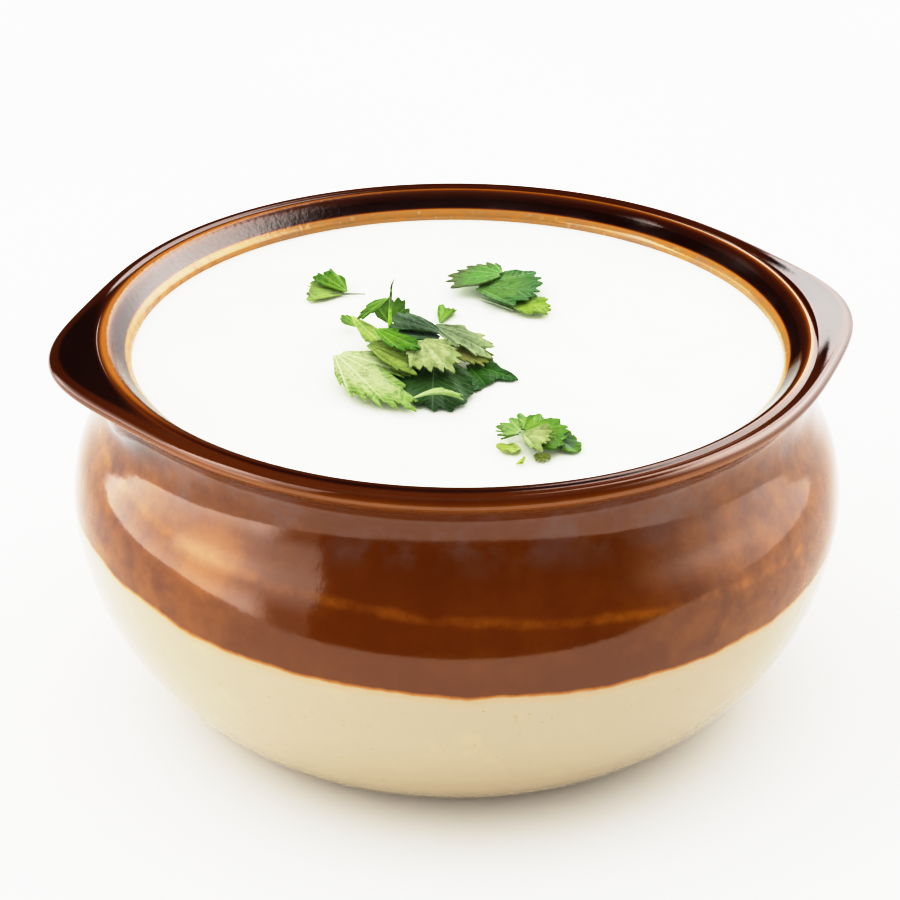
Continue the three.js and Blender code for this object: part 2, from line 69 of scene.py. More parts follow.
# The coriander, a row for each leaf: name, where its stalk end is, heading in degrees, length,
# (pitch, roll) in degrees, arch, edge wave, spread of its rays in degrees, teeth, bite of the teeth,
# how far the rays reach as shares of the length, main veins, strength of the side veins, crumple,
# and the colours of blade, outer edge and veins as they look in the picture. Its height comes from
# its node in the frame. Not all of these numbers were chosen by hand. A helper program worked out
# the places, headings, lengths, spreads and reaches from outline points read off the photograph.
# Most headings and about half of the others still stand as it gave them. The rest were changed.
LEAVES = [
    ("right_dark", (1.3, -7.6), -58, 9, (-3, 0), 0, 0.12, (-28, 80), 6, 0.02,
     (1, 0.86, 0.78, 0.74, 1.02, 0.62, 0.5, 0.45, 0.42), 3, 0.25, 0.1, "#306612", "#1c5010", "#5d9a3a"),
    ("front_dark", (-3.7, -5.5), -83, 16.8, (-5, 0), 0.3, 0.12, (-45, 31), 9, 0.03,
     (0.63, 0.71, 0.87, 0.98, 1, 0.81, 0.5), 1, 0.32, 0.1, "#395d26", "#254c1a", "#6f9159"),
    ("front_light", (-19, -7.1), -57, 22.4, (-4, 0), 0.3, 0.12, (-28, 50), 14, 0.12,
     (0.4, 0.68, 0.84, 1, 0.6, 0.62, 0.42, 0.28), 5, 0.3, 0.12, "#c0cd8e", "#7ea636", "#e2ebc6"),
    ("front_curl", (-7, -21.4), 4, 8.2, (0, -12), 1.2, 0.12, (-20, 14), 4, 0.1,
     (0.9, 1, 0.9, 0.7, 0.55), 3, 0.3, 0.1, "#b5cb7f", "#9fbf62", "#d8e6b4"),
    ("spotted", (-1.6, -3.3), -48, 8.6, (-5, 0), 0, 0.12, (-30, 22), 7, 0.08,
     (0.5, 0.78, 1, 0.95, 0.84), 3, 0.25, 0.15, "#a9a558", "#8f9a3c", "#c9c98c"),
    ("crumpled", (-4.3, -0.2), -38, 12.6, (-8, 0), 0.2, 0.25, (-28, 35), 10, 0.11,
     (0.5, 0.61, 1, 0.9, 0.8, 0.6, 0.36), 3, 0.6, 0.35, "#8fa270", "#b6c98a", "#5f7a48"),
    ("yellowish", (-14.2, -6.6), -42, 12, (-4, 0), 0, 0.12, (-21, 56), 9, 0.1,
     (0.62, 1, 0.88, 0.74, 0.62, 0.44, 0.22), 5, 0.5, 0.12, "#a8bd50", "#8fab3e", "#6f9440"),
    ("middle", (-5.7, -6.1), -68, 10.8, (-6, 0), 0.3, 0.12, (-47, 60), 11, 0.11,
     (0.4, 0.87, 0.93, 1, 0.8, 0.5, 0.35), 3, 0.6, 0.2, "#b0bd78", "#98ab5c", "#8fa45c"),
    ("under_stem", (-15.7, 3.6), 124, 4.6, (0, 0), 0, 0.12, (-16, 38), 5, 0.07,
     (0.84, 1, 0.84, 0.6, 0.4), 3, 0.25, 0.08, "#6f9a30", "#5c8a22", "#a3c85c"),
    ("stemmed", (-16.9, 4.8), -61, 13.4, (-3, 0), 0, 0.12, (-14, 11), 7, 0.05,
     (0.67, 0.75, 0.87, 0.95, 1, 0.93, 0.5), 1, 0.35, 0.1, "#aac45c", "#86a83c", "#cfe08a"),
    ("bright", (-12.8, -4.2), -47, 9.8, (-3, 0), 0, 0.12, (-23, 36), 7, 0.08,
     (0.55, 0.85, 0.98, 0.87, 0.48, 0.36), 3, 0.3, 0.1, "#5f9612", "#3f7d10", "#8cc048"),
    ("blue_green", (-2.2, -3.1), 173, 9.4, (4, 2), 0, 0.12, (-37, 36), 7, 0.06,
     (0.35, 0.5, 0.73, 1, 0.76, 0.55, 0.45), 3, 0.4, 0.12, "#506f44", "#3a6440", "#86a884"),
    ("back_dark", (-2.2, -3.2), 152, 9.4, (4, -2), 0, 0.12, (-31, 29), 7, 0.06,
     (0.35, 0.8, 0.91, 1, 0.86, 0.86, 0.3), 3, 0.35, 0.12, "#2d4a26", "#55764a", "#6b8c62"),
    ("behind_stalk", (-10.8, 5), 66, 3.6, (40, 0), 0, 0.08, (-64, 80), 6, 0.1,
     (1, 0.86, 0.95, 0.86, 0.95, 0.95, 0.7), 3, 0.25, 0.08, "#4a780e", "#2f5d0c", "#76a83a"),
    ("folded", (-10.6, 2.6), -171, 4.9, (-34, 0), 0, 0.08, (-38, 56), 6, 0.1,
     (0.56, 0.84, 0.9, 1, 0.8, 0.52, 0.36), 3, 0.25, 0.1, "#5c8a1e", "#4a7814", "#9cc85c"),
    ("square", (-2.8, 7.4), 77, 6.4, (0, 0), 0, 0.12, (-24, 22), 5, 0.05,
     (0.3, 0.8, 0.86, 0.84, 0.9, 1, 0.95, 0.4), 1, 0.3, 0.1, "#6ea01e", "#5c8d18", "#a9cf60"),
    ("back_sliver", (3.3, 17), -41, 7.4, (0, 0), 0, 0.12, (-8, 10), 2, 0.04,
     (0.7, 1, 0.85, 0.5), 1, 0.2, 0.06, "#c2d2ae", "#a9c08c", "#dbe6cc"),
    ("back_yellow", (8.4, 13.6), -24, 7, (0, 0), 0.2, 0.12, (-52, 68), 8, 0.08,
     (0.45, 0.66, 1, 0.92, 0.82, 0.82, 0.5), 3, 0.4, 0.12, "#95b832", "#7ba028", "#c3dc7c"),
    ("back_right", (2.6, 18.9), -7, 12, (0, 0), 0.2, 0.12, (-62, 54), 9, 0.06,
     (0.4, 0.77, 0.85, 0.83, 0.88, 0.92, 0.66), 3, 0.45, 0.12, "#5e9034", "#3d7430", "#8dba70"),
    ("back_frond", (7.4, 22.2), -177, 10, (-2, 0), 0, 0.12, (-86, 49), 9, 0.13,
     (0.38, 0.5, 0.6, 0.74, 0.93, 1, 0.5), 5, 0.35, 0.12, "#5f9a38", "#5c6a3c", "#a3c878"),
    ("left_light", (-17.9, 18.9), 174, 7.1, (1, 0), 0, 0.12, (-30, 48), 6, 0.05,
     (0.92, 0.93, 0.87, 0.8, 0.86, 1, 0.6), 3, 0.35, 0.1, "#a5c35a", "#8fb048", "#cfe096"),
    ("left_dark", (-17.7, 17.7), 121, 7.8, (4, 0), 0, 0.12, (-23, 34), 6, 0.05,
     (0.5, 1, 0.94, 0.94, 0.66), 3, 0.35, 0.12, "#629012", "#3f7810", "#8cba50"),
    ("left_thread", (-14.2, 18.5), 183, 9.6, (0, 0), 0, 0, (-1.6, 1.6), 2, 0,
     (1, 1), 1, 0.1, 0.02, "#8f9a80", "#8f9a80", "#a9b39a"),
    ("near_yellow", (9.2, -34.9), -179, 3.6, (0, 0), 0, 0.12, (-48, 60), 4, 0.08,
     (0.5, 0.65, 1, 0.88, 0.8, 0.55, 0.42), 3, 0.35, 0.1, "#bed25e", "#a3bb42", "#dbe89c"),
    ("near_tip", (11.4, -36.2), -71, 2.6, (0, 0), 0, 0.08, (-41, 42), 3, 0.08,
     (0.6, 0.8, 1, 1, 0.92, 0.8), 3, 0.3, 0.08, "#96a53c", "#7f9430", "#c3cc80"),
    ("near_point", (14.4, -31.6), -53, 5.4, (0, 0), 0, 0.12, (-29, 94), 6, 0.05,
     (0.76, 0.95, 0.84, 0.56, 0.46, 0.42, 0.45), 3, 0.35, 0.1, "#587d4c", "#5f9618", "#8caf78"),
    ("near_top", (9.3, -30.5), -19, 8.6, (0, 0), 0.2, 0.12, (-62, 117), 11, 0.07,
     (0.6, 0.92, 0.76, 0.75, 0.64, 0.58, 0.58), 5, 0.4, 0.14, "#6e9c1e", "#4c8418", "#9cc45c"),
    ("near_frond", (9.2, -32.4), 138, 6, (-4, 0), 0, 0.12, (-42, 84), 6, 0.26,
     (1, 0.78, 0.72, 0.62, 0.57, 0.56, 0.58), 5, 0.35, 0.14, "#84ad4c", "#6d9a38", "#b6d088"),
    ("near_pale", (9.3, -32.7), -49, 6.2, (-1, 0), 0.2, 0.2, (-37, 74), 8, 0.11,
     (0.74, 1, 0.8, 0.75, 0.7, 0.7, 0.66), 3, 0.55, 0.3, "#b4c37a", "#98ad58", "#7f9a50"),
    ("near_crumb", (8.2, -39.5), 40, 2.2, (0, 0), 0, 0.08, (-44, 12), 2, 0.06,
     (0.4, 0.5, 0.7, 1), 1, 0.2, 0.05, "#bed250", "#a3bb3c", "#dbe890"),
]


# ---- Helpers --------------------------------------------------------------------------------
def linear(colour):
    """The linear colour, with alpha, of an sRGB hex value such as "#5e2606"."""
    parts = [int(colour[i:i + 2], 16) / 255 for i in (1, 3, 5)]
    return [p / 12.92 if p <= 0.04045 else ((p + 0.055) / 1.055) ** 2.4 for p in parts] + [1.0]


def base_of(shown, light):
    """The linear base colour that the view's tones show as an sRGB hex value in that much light."""
    def untoned(level):
        for (dark, low), (bright, high) in zip(TONES, TONES[1:]):
            if level <= high:
                return dark + (bright - dark) * (level - low) / (high - low)
        return TONES[-1][0]
    return [min(untoned(part) / light, 1.0) for part in linear(shown)[:3]] + [1.0]


def smooth(x):
    """A soft step from 0 at x = 0 to 1 at x = 1."""
    x = min(max(x, 0.0), 1.0)
    return x * x * (3 - 2 * x)


class Term:
    """A number or vector in a node tree, so that a sum of sockets reads as a sum."""

    def __init__(self, tree, socket):
        self.tree = tree
        self.socket = socket

    def do(self, operation, *others):
        return math_of(self.tree, operation, self, *others)

    def __add__(self, other):
        return self.do("ADD", other)

    def __sub__(self, other):
        return self.do("SUBTRACT", other)

    def __mul__(self, other):
        return self.do("MULTIPLY", other)

    def __truediv__(self, other):
        return self.do("DIVIDE", other)

    def __rsub__(self, other):
        return math_of(self.tree, "SUBTRACT", other, self)

    __radd__ = __add__
    __rmul__ = __mul__


def add(tree, kind, links=None, **settings):
    """Adds a node with its settings, and links or sets its inputs, named or numbered."""
    node = tree.nodes.new(kind)
    for name, value in settings.items():
        setattr(node, name, value)
    for key, value in (links or {}).items():
        named = [s for s in node.inputs if s.name == key and s.enabled]
        socket = node.inputs[key] if isinstance(key, int) else named[0]
        if isinstance(value, Term):
            tree.links.new(value.socket, socket)
        elif isinstance(value, bpy.types.NodeSocket):
            tree.links.new(value, socket)
        else:
            socket.default_value = value
    return node


def out(node, key=0):
    """A node's output as a Term."""
    named = [s for s in node.outputs if s.name == key and s.enabled]
    return Term(node.id_data, node.outputs[key] if isinstance(key, int) else named[0])


def math_of(tree, operation, *values):
    return out(add(tree, "ShaderNodeMath", dict(enumerate(values)), operation=operation))


def step_between(value, low, high):
    """0 below low, 1 above high, and a soft step between them."""
    links = {"Value": value, "From Min": low, "From Max": high}
    node = add(value.tree, "ShaderNodeMapRange", links, interpolation_type="SMOOTHSTEP")
    return out(node, "Result")


def window(value, low, high, soft_low=8.0, soft_high=8.0):
    """1 between low and high, falling to 0 over the soft widths outside them."""
    return (step_between(value, low - soft_low, low)
            * (1.0 - step_between(value, high, high + soft_high)))


def noise_of(tree, coordinates, size, detail=2.0, rough=0.5):
    """Noise from 0 to 1 whose bumps are about `size` millimetres wide."""
    links = {"Vector": coordinates, "Scale": 1 / (size * MM), "Detail": detail, "Roughness": rough}
    return out(add(tree, "ShaderNodeTexNoise", links, noise_dimensions="3D"), "Fac")


def mix_of(tree, share, first, second, blend="MIX"):
    """A colour between two others, which are Terms or linear colours."""
    node = add(tree, "ShaderNodeMix", data_type="RGBA", blend_type=blend, clamp_factor=True)
    for index, value in ((0, share), (6, first), (7, second)):
        if isinstance(value, Term):
            tree.links.new(value.socket, node.inputs[index])
        else:
            node.inputs[index].default_value = value
    return Term(tree, node.outputs[2])


def ramp_of(tree, value, stops):
    """A colour from a ramp of (place, sRGB hex) stops."""
    node = add(tree, "ShaderNodeValToRGB", {"Fac": value})
    elements = node.color_ramp.elements
    while len(elements) < len(stops):
        elements.new(0.5)
    for element, (place, colour) in zip(elements, stops):
        element.position = place
        element.color = linear(colour)
    return out(node, "Color")


def material_of(name):
    """A new material with its node tree, its Principled shader and its Object coordinates."""
    material = bpy.data.materials.new(name)
    material.use_nodes = True
    tree = material.node_tree
    shader = tree.nodes["Principled BSDF"]
    place = out(add(tree, "ShaderNodeTexCoord"), "Object")
    return material, tree, shader, place


def relief(tree, shader, height, strength, distance):
    """Gives a shader a bump from a height of 0 to 1 that stands for `distance` millimetres."""
    links = {"Height": height, "Strength": strength, "Distance": distance * MM}
    tree.links.new(add(tree, "ShaderNodeBump", links).outputs["Normal"], shader.inputs["Normal"])


def mesh_object(name, points, faces=(), edges=()):
    """An object at the origin from points in millimetres."""
    mesh = bpy.data.meshes.new(name)
    mesh.from_pydata([Vector(p) * MM for p in points], edges, faces)
    piece = bpy.data.objects.new(name, mesh)
    bpy.context.scene.collection.objects.link(piece)
    return piece


def store(piece, name, values):
    """Keeps a number for each vertex as an attribute that node trees read."""
    layer = piece.data.attributes.new(name, "FLOAT", "POINT")
    layer.data.foreach_set("value", values)


def grown(source, tree, settings, name):
    """Runs a Geometry Nodes tree on an object with the named settings, and returns the result as a
    plain mesh object of that name. The source is removed."""
    modifier = source.modifiers.new(tree.name, "NODES")
    modifier.node_group = tree
    for item in tree.interface.items_tree:
        if item.item_type == "SOCKET" and item.in_out == "INPUT" and item.name in settings:
            modifier[item.identifier] = settings[item.name]
    graph = bpy.context.evaluated_depsgraph_get()
    graph.update()
    mesh = bpy.data.meshes.new_from_object(source.evaluated_get(graph), depsgraph=graph)
    source.modifiers.remove(modifier)
    bpy.data.objects.remove(source)
    mesh.name = name
    piece = bpy.data.objects.new(name, mesh)
    bpy.context.scene.collection.objects.link(piece)
    return piece


def finish_piece(piece, node, sharp=60):
    """Shades a piece, and puts it in the frame in place of its node."""
    if not piece.data.polygons:
        raise RuntimeError(piece.name + " has no faces")
    piece.data.polygons.foreach_set("use_smooth", [True] * len(piece.data.polygons))
    piece.data.set_sharp_from_angle(angle=math.radians(sharp))
    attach(piece, "root")
    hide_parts(node)


def tree_with_inputs(name, sockets):
    """A new Geometry Nodes tree with a geometry in and out, and inputs as (name, kind, default)."""
    tree = bpy.data.node_groups.new(name, "GeometryNodeTree")
    tree.interface.new_socket("Geometry", in_out="INPUT", socket_type="NodeSocketGeometry")
    tree.interface.new_socket("Geometry", in_out="OUTPUT", socket_type="NodeSocketGeometry")
    for label, kind, default in sockets:
        socket = tree.interface.new_socket(
            label, in_out="INPUT", socket_type="NodeSocket" + kind)
        if default is not None:
            socket.default_value = default
    given = add(tree, "NodeGroupInput")
    return tree, {s.name: Term(tree, s) for s in given.outputs if s.name}


def end_tree(tree, geometry, material):
    """Ends a tree in Realize Instances and Set Material."""
    real = add(tree, "GeometryNodeRealizeInstances", {"Geometry": geometry})
    links = {"Geometry": real.outputs[0], "Material": material}
    painted = add(tree, "GeometryNodeSetMaterial", links)
    add(tree, "NodeGroupOutput", {0: painted.outputs[0]})


def grid_over(tree, outline, rows):
    """A grid of rows that each have the points of the outline. Returns the grid, the row and the
    column of each point, and a function that reads the outline at the column."""
    count = out(add(tree, "GeometryNodeAttributeDomainSize", {"Geometry": outline}), "Point Count")
    links = {"Vertices X": rows, "Vertices Y": count, "Size X": 1.0, "Size Y": 1.0}
    grid = out(add(tree, "GeometryNodeMeshGrid", links), "Mesh")
    index = out(add(tree, "GeometryNodeInputIndex"))
    row = (index / count + 1e-5).do("FLOOR")
    column = index - row * count

    def read(name, kind="FLOAT"):
        if name == "position":
            value = out(add(tree, "GeometryNodeInputPosition"))
        else:
            value = out(add(tree, "GeometryNodeInputNamedAttribute", {"Name": name},
                            data_type=kind), "Attribute")
        links = {"Geometry": outline, "Value": value, "Index": column}
        return out(add(tree, "GeometryNodeSampleIndex", links, data_type=kind), "Value")

    return grid, row, column, read


def keep_attribute(tree, geometry, name, value, kind="FLOAT"):
    links = {"Geometry": geometry, "Name": name, "Value": value}
    node = add(tree, "GeometryNodeStoreNamedAttribute", links, data_type=kind, domain="POINT")
    return out(node)


def move_points(tree, geometry, x, y, z):
    place = out(add(tree, "ShaderNodeCombineXYZ", {"X": x, "Y": y, "Z": z}))
    return out(add(tree, "GeometryNodeSetPosition", {"Geometry": geometry, "Position": place}))


# ---- Bowl -----------------------------------------------------------------------------------
def turned_form_tree():
    """Turns a profile in the XZ plane round the Z axis, as on a wheel, and pulls two ears out of
    its edge where the profile's ear_share says so."""
    tree, given = tree_with_inputs("Turned form with ears", [
        ("Turn Steps", "Int", 256), ("Ear Half Angle", "Float", math.radians(16.5)),
        ("Right Ear Azimuth", "Float", 0.0), ("Right Ear Reach", "Float", 0.0),
        ("Left Ear Azimuth", "Float", 0.0), ("Left Ear Reach", "Float", 0.0),
        ("Right Ear Fill", "Float", 0.0), ("Left Ear Fill", "Float", 0.0),
        ("Wobble", "Float", 0.0), ("Seed", "Float", 0.0), ("Material", "Material", None)])
    steps = given["Turn Steps"]
    grid, turn, _, read = grid_over(tree, given["Geometry"], steps + 1)
    profile = add(tree, "ShaderNodeSeparateXYZ", {0: read("position", "FLOAT_VECTOR")})
    radius, height = out(profile, "X"), out(profile, "Z")
    angle = turn / steps * math.tau
    pull = filled = None
    for side in ("Right", "Left"):
        off = (angle - given[side + " Ear Azimuth"]).do("WRAP", math.pi, -math.pi)
        share = off / given["Ear Half Angle"]
        near = math_of(tree, "EXPONENT", share * share * -1.0)
        ear = given[side + " Ear Reach"] * near
        level = given[side + " Ear Fill"] * near
        pull = ear if pull is None else pull + ear
        filled = level if filled is None else filled + level
    ear_share = read("ear_share")
    height = height + filled * read("fill_share")
    radius = radius + pull * ear_share
    around = add(tree, "ShaderNodeCombineXYZ", {
        "X": radius * angle.do("COSINE"), "Y": radius * angle.do("SINE"), "Z": height})
    # Thrown by hand: the wall is never quite round.
    links = {"Vector": out(around), "W": given["Seed"], "Scale": 28.0, "Detail": 1.0}
    noise = out(add(tree, "ShaderNodeTexNoise", links, noise_dimensions="4D"), "Fac")
    radius = radius + (noise - 0.5) * given["Wobble"] * read("wobble_share")
    formed = move_points(tree, grid, radius * angle.do("COSINE"), radius * angle.do("SINE"), height)
    formed = keep_attribute(tree, formed, "glaze", read("glaze"))
    pool = pull * ear_share * (1.0 - ear_share) * 4.0 / MM
    formed = keep_attribute(tree, formed, "ear_pool", pool)
    closed = add(tree, "GeometryNodeMergeByDistance", {"Geometry": formed, "Distance": 1e-6})
    outwards = add(tree, "GeometryNodeFlipFaces", {"Mesh": out(closed)})
    end_tree(tree, out(outwards), given["Material"])
    return tree


def arc(centre, from_angle, to_angle, steps):
    """Points of a circle (radius, height, round) in the profile plane, angles from outwards."""
    radius, height, rounding = centre
    for i in range(steps + 1):
        a = math.radians(from_angle + (to_angle - from_angle) * i / steps)
        yield radius + rounding * math.cos(a), height + rounding * math.sin(a)


def spline(knots, steps):
    """A smooth line through knots, with `steps` points between each two."""
    points = []
    for i in range(len(knots) - 1):
        p = [Vector(knots[min(max(i + k, 0), len(knots) - 1)]) for k in (-1, 0, 1, 2)]
        for s in range(steps):
            t = s / steps
            points.append(0.5 * (2 * p[1] + (p[2] - p[0]) * t
                                 + (2 * p[0] - 5 * p[1] + 4 * p[2] - p[3]) * t * t
                                 + (3 * p[1] - p[0] - 3 * p[2] + p[3]) * t ** 3))
    return [tuple(p) for p in points] + [tuple(knots[-1])]


def inner_wall(inset):
    """The inside below the step, from the step down to the floor."""
    belly = BELLY_RADIUS - WALL - inset
    step = LEDGE_RADIUS - inset
    return [(step, 55.2), (step + 0.3, 50), (step + 2.2, 44), (belly, 34), (belly - 2, 24),
            (46.4 - inset, 15), (38 - inset, FLOOR + 2 + inset), (27, FLOOR + 0.3 + inset)]


def bowl_profile():
    """The profile as (radius, height, glaze), where glaze says how thin the glaze lies: 0 in a
    pool, 0.35 on the wall, 1 where it has run off an edge."""
    base = [(0, 1.2), (20, 1.2), (33.0, 1.2), (33.8, 1.05), (34.4, 0.55), (34.8, 0.12),
            (35.4, 0), (37, 0), (38.5, 0.0), (39.2, 0.12), (39.5, 0.5)]
    wall = spline([(39.5, 0.5), (42.1, 1.9), (46.4, 5), (51.2, 10), (55.9, 17), (58.9, 25),
                   (BELLY_RADIUS, BELLY_HEIGHT), (59.1, 41.5), (56.2, 47), (54.5, 50.5),
                   (54, 53), (54.1, 55.4), (54.8, 57.1), (55.9, 58.3), (56.75, 58.95)], 5)
    points = [(r, h, 0.35) for r, h in base[:-1]]
    points += [(r, h, 0.4) for r, h in wall]
    roll = list(arc(ROLL, -38, 100, 14))
    points += [(r, h, 0.38 - 0.15 * smooth((i - 3) / 6))
               for i, (r, h) in enumerate(roll)]
    # The top from the roll to the groove, which the ears stretch out.
    points += [(r, h, 0.24) for r, h in spline([roll[-1], (55.75, 61.16), (55.4, 61.02), GROOVE], 4)[1:]]
    bead = spline([GROOVE, (54.8, 61.0), (54.4, 61.13), (53.95, 61.18), (53.5, 61.06),
                   (53.1, 60.81), (52.75, 60.48), (52.4, 60.11)], 4)[1:]
    points += [(r, h, 0.13 + 0.16 * math.exp(-((r - 54.1) / 1.0) ** 2)
                + 0.26 * math.exp(-((r - 54.1) / 0.55) ** 2)) for r, h in bead]
    step = spline([(52.4, 60.11), (52.0, 59.71), (51.57, 59.3), (51.15, 58.92), (50.8, 58.62),
                   (50.5, 58.36), (50.2, 58.02), (50.08, 57.7), (LEDGE_RADIUS, 57.3),
                   (LEDGE_RADIUS, 56.3)], 4)[1:]
    points += [(r, h, 0.05 + 0.86 * smooth((51.3 - r) / 0.6)) for r, h in step]
    points += [(r, h, 0.35) for r, h in spline(inner_wall(0), 4)]
    points += [(13, FLOOR, 0.35), (0, FLOOR, 0.35)]
    return points


def ear_shares(points):
    """How much of the ears' pull each profile point takes, and how much they are filled."""
    shares = []
    crest = max(range(len(points)), key=lambda i: points[i][0] if points[i][1] > 59 else 0)
    for i, (radius, height, _) in enumerate(points):
        if height < 47 or radius < 52.5 or (i > crest and radius < GROOVE[0]):
            shares.append((0.0, 0.0))
        elif i <= crest:
            flare = smooth((height - 47) / (ROLL[1] - 47)) ** 2
            shares.append((flare, 0.0))
        else:
            inner = (radius - GROOVE[0]) / (ROLL[0] - 0.2 - GROOVE[0])
            share = min(max(inner, 0.0), 1.0)
            shares.append((share, 1.0 - share))
    return shares


def stoneware_glaze(settings):
    """Glazed stoneware: an iron-brown glaze over the upper half and an ivory one below, both glossy
    as wet stone. The brown is near black where it pools and amber where it runs off an edge."""
    material, tree, shader, place = material_of("Iron-brown and ivory glaze on stoneware")
    axes = add(tree, "ShaderNodeSeparateXYZ", {0: place})
    height = out(axes, "Z") / MM
    azimuth = math_of(tree, "ARCTAN2", out(axes, "Y"), out(axes, "X"))
    # The bowl was dipped a little askew, so the line between the glazes climbs to one side.
    askew = (1.0 - (azimuth + math.radians(60)).do("COSINE")) / 0.86
    line = askew.do("MINIMUM", 1.15) * 3.7 + settings.dip_height / MM
    line = line + (noise_of(tree, place, 9, 1) - 0.5) * 1.6 + (noise_of(tree, place, 2.2, 2) - 0.5) * 0.5
    above = height - line
    dipped = step_between(above, -0.18, 0.22)
    mottle = noise_of(tree, place, 5, 4, 0.6) - 0.5
    cloud = noise_of(tree, place, 24, 2) - 0.5
    thin = out(add(tree, "ShaderNodeAttribute", attribute_name="glaze"), "Fac")
    # On the ears the glaze has run together, so their tops are nearly black.
    pool = out(add(tree, "ShaderNodeAttribute", attribute_name="ear_pool"), "Fac")
    thin = thin * (1.0 - step_between(pool, 0.0, 2.2) * 0.85)
    # The walls to the left and right are painted lighter, more amber and more mottled than in front: partly
    # thinner glaze, partly painted light from the side lamps.
    side = azimuth.do("COSINE").do("ABSOLUTE")
    side = step_between(side, 0.3, 0.95) * (1.0 - step_between(height, 54, 58))
    thin = thin + side * (mottle * 0.24 + 0.05) + mottle * 0.06 + cloud * 0.05
    # Painted light and shade on the rim in front only: the bead and the flat top beside it are painted
    # darker, and the roll's outer face lighter.
    radius = (out(axes, "X") * out(axes, "X") + out(axes, "Y") * out(axes, "Y")).do("SQRT") / MM
    front = step_between(azimuth.do("SINE") * -1.0, 0.25, 0.8)
    outer = step_between(radius, 54.5, 55.1)
    painted_light_face = outer * step_between(height, 57.2, 58.8) * 0.09
    thin = thin + front * (painted_light_face - (1.0 - outer) * step_between(height, 59.6, 60.4) * 0.28)
    # To the left the bead is painted wide and pale: a painted pinkish reflection of the low left light.
    left = step_between(azimuth.do("COSINE") * -1.0, 0.4, 0.9)
    thin = thin + left * window(radius, 53.4, 54.9, 0.6, 0.4) * step_between(height, 59.8, 60.6) * 0.14
    # The golden ring round the step is uneven: the glaze beads up on it.
    ring = step_between(thin, 0.6, 0.9)
    thin = thin - ring * left * 0.16 - ring * (noise_of(tree, place, 1.8, 3, 0.6) - 0.4) * 0.55
    # One pale blotch where the glaze crawled, to the left of the front.
    around = (azimuth + math.radians(128)) * 59.0
    off = (around * around * 0.6 + (height - 45.0) * (height - 45.0)).do("SQRT") + mottle * 14.0
    thin = thin + (1.0 - step_between(off, 1.5, 6.5)) * 0.1
    # A thin amber run where the brown ends, and a faint streak round the shoulder.
    thin = thin + (1.0 - step_between(above, 0.1, 0.7)) * 0.28
    streak = (height - 41.9 + azimuth * 3.75 + math.radians(75) * 3.75
              + (noise_of(tree, place, 6, 2) - 0.5) * 1.2).do("ABSOLUTE")
    thin = thin + (1.0 - step_between(streak, 0.1, 1.1)) * (mottle * 0.2 + 0.035)
    brown = ramp_of(tree, thin, [(0.0, "#1c0805"), (0.12, "#2f120a"), (0.26, "#4d2309"),
                                 (0.4, "#683810"), (0.55, "#97601f"), (0.74, "#b3803f"),
                                 (0.9, "#a07c4c"), (1.0, "#c29a64")])
    # Painted reflection: a bluish-grey sheen of the room round the neck, broken into clouds.
    painted_neck_reflection = step_between(height, 47, 51) * (1.0 - step_between(height, 57, 60))
    painted_neck_reflection = painted_neck_reflection * step_between(noise_of(tree, place, 7, 3, 0.6), 0.4, 0.7) * 0.3
    brown = mix_of(tree, painted_neck_reflection, brown, linear("#77686c"))
    # Painted shade: the ivory is darker and yellower towards the foot.
    low = step_between(height, 1.0, 24.0)
    ivory = mix_of(tree, low, linear("#ae9c7c"), linear("#b2a38c"))
    ivory = mix_of(tree, step_between(mottle, 0.05, 0.3) * 0.12, ivory, linear("#d8bf92"))
    specks = step_between(noise_of(tree, place, 1.1, 1), 0.72, 0.8)
    ivory = mix_of(tree, specks * 0.4, ivory, linear("#a98856"))
    bleed = (1.0 - step_between(above * -1.0, 0.0, 1.5)) * 0.2
    ivory = mix_of(tree, bleed, ivory, linear("#c98a3e"))
    glazed = mix_of(tree, dipped, ivory, brown)
    bare = 1.0 - step_between(height, 0.15, 0.5)
    colour = mix_of(tree, bare, glazed, linear("#b89a74"))
    tree.links.new(colour.socket, shader.inputs["Base Color"])
    # On the bead and the slope inside it the glaze is finely pitted, so it shines less sharply.
    pitted = step_between(height, 56.5, 57.5) * (1.0 - step_between(radius, 54.0, 54.5))
    pitted = pitted * step_between(azimuth.do("COSINE") * -1.0, -0.1, 0.6)
    rough = bare * 0.6 + pitted * 0.13 + (noise_of(tree, place, 3, 3) * 0.08 + settings.gloss_roughness)
    tree.links.new(rough.socket, shader.inputs["Roughness"])
    shader.inputs["IOR"].default_value = 1.62
    shader.inputs["Specular Tint"].default_value = (1.0, 0.92, 0.86, 1.0)
    throwing = (height * 1.7 + cloud * 4.0).do("SINE") * 0.12
    peel = (noise_of(tree, place, 0.9, 2) - 0.5) * (pitted * 1.3 + 0.2)
    relief(tree, shader, throwing + peel + mottle * 0.5 + cloud * 1.6, 0.35, 0.12)
    return material


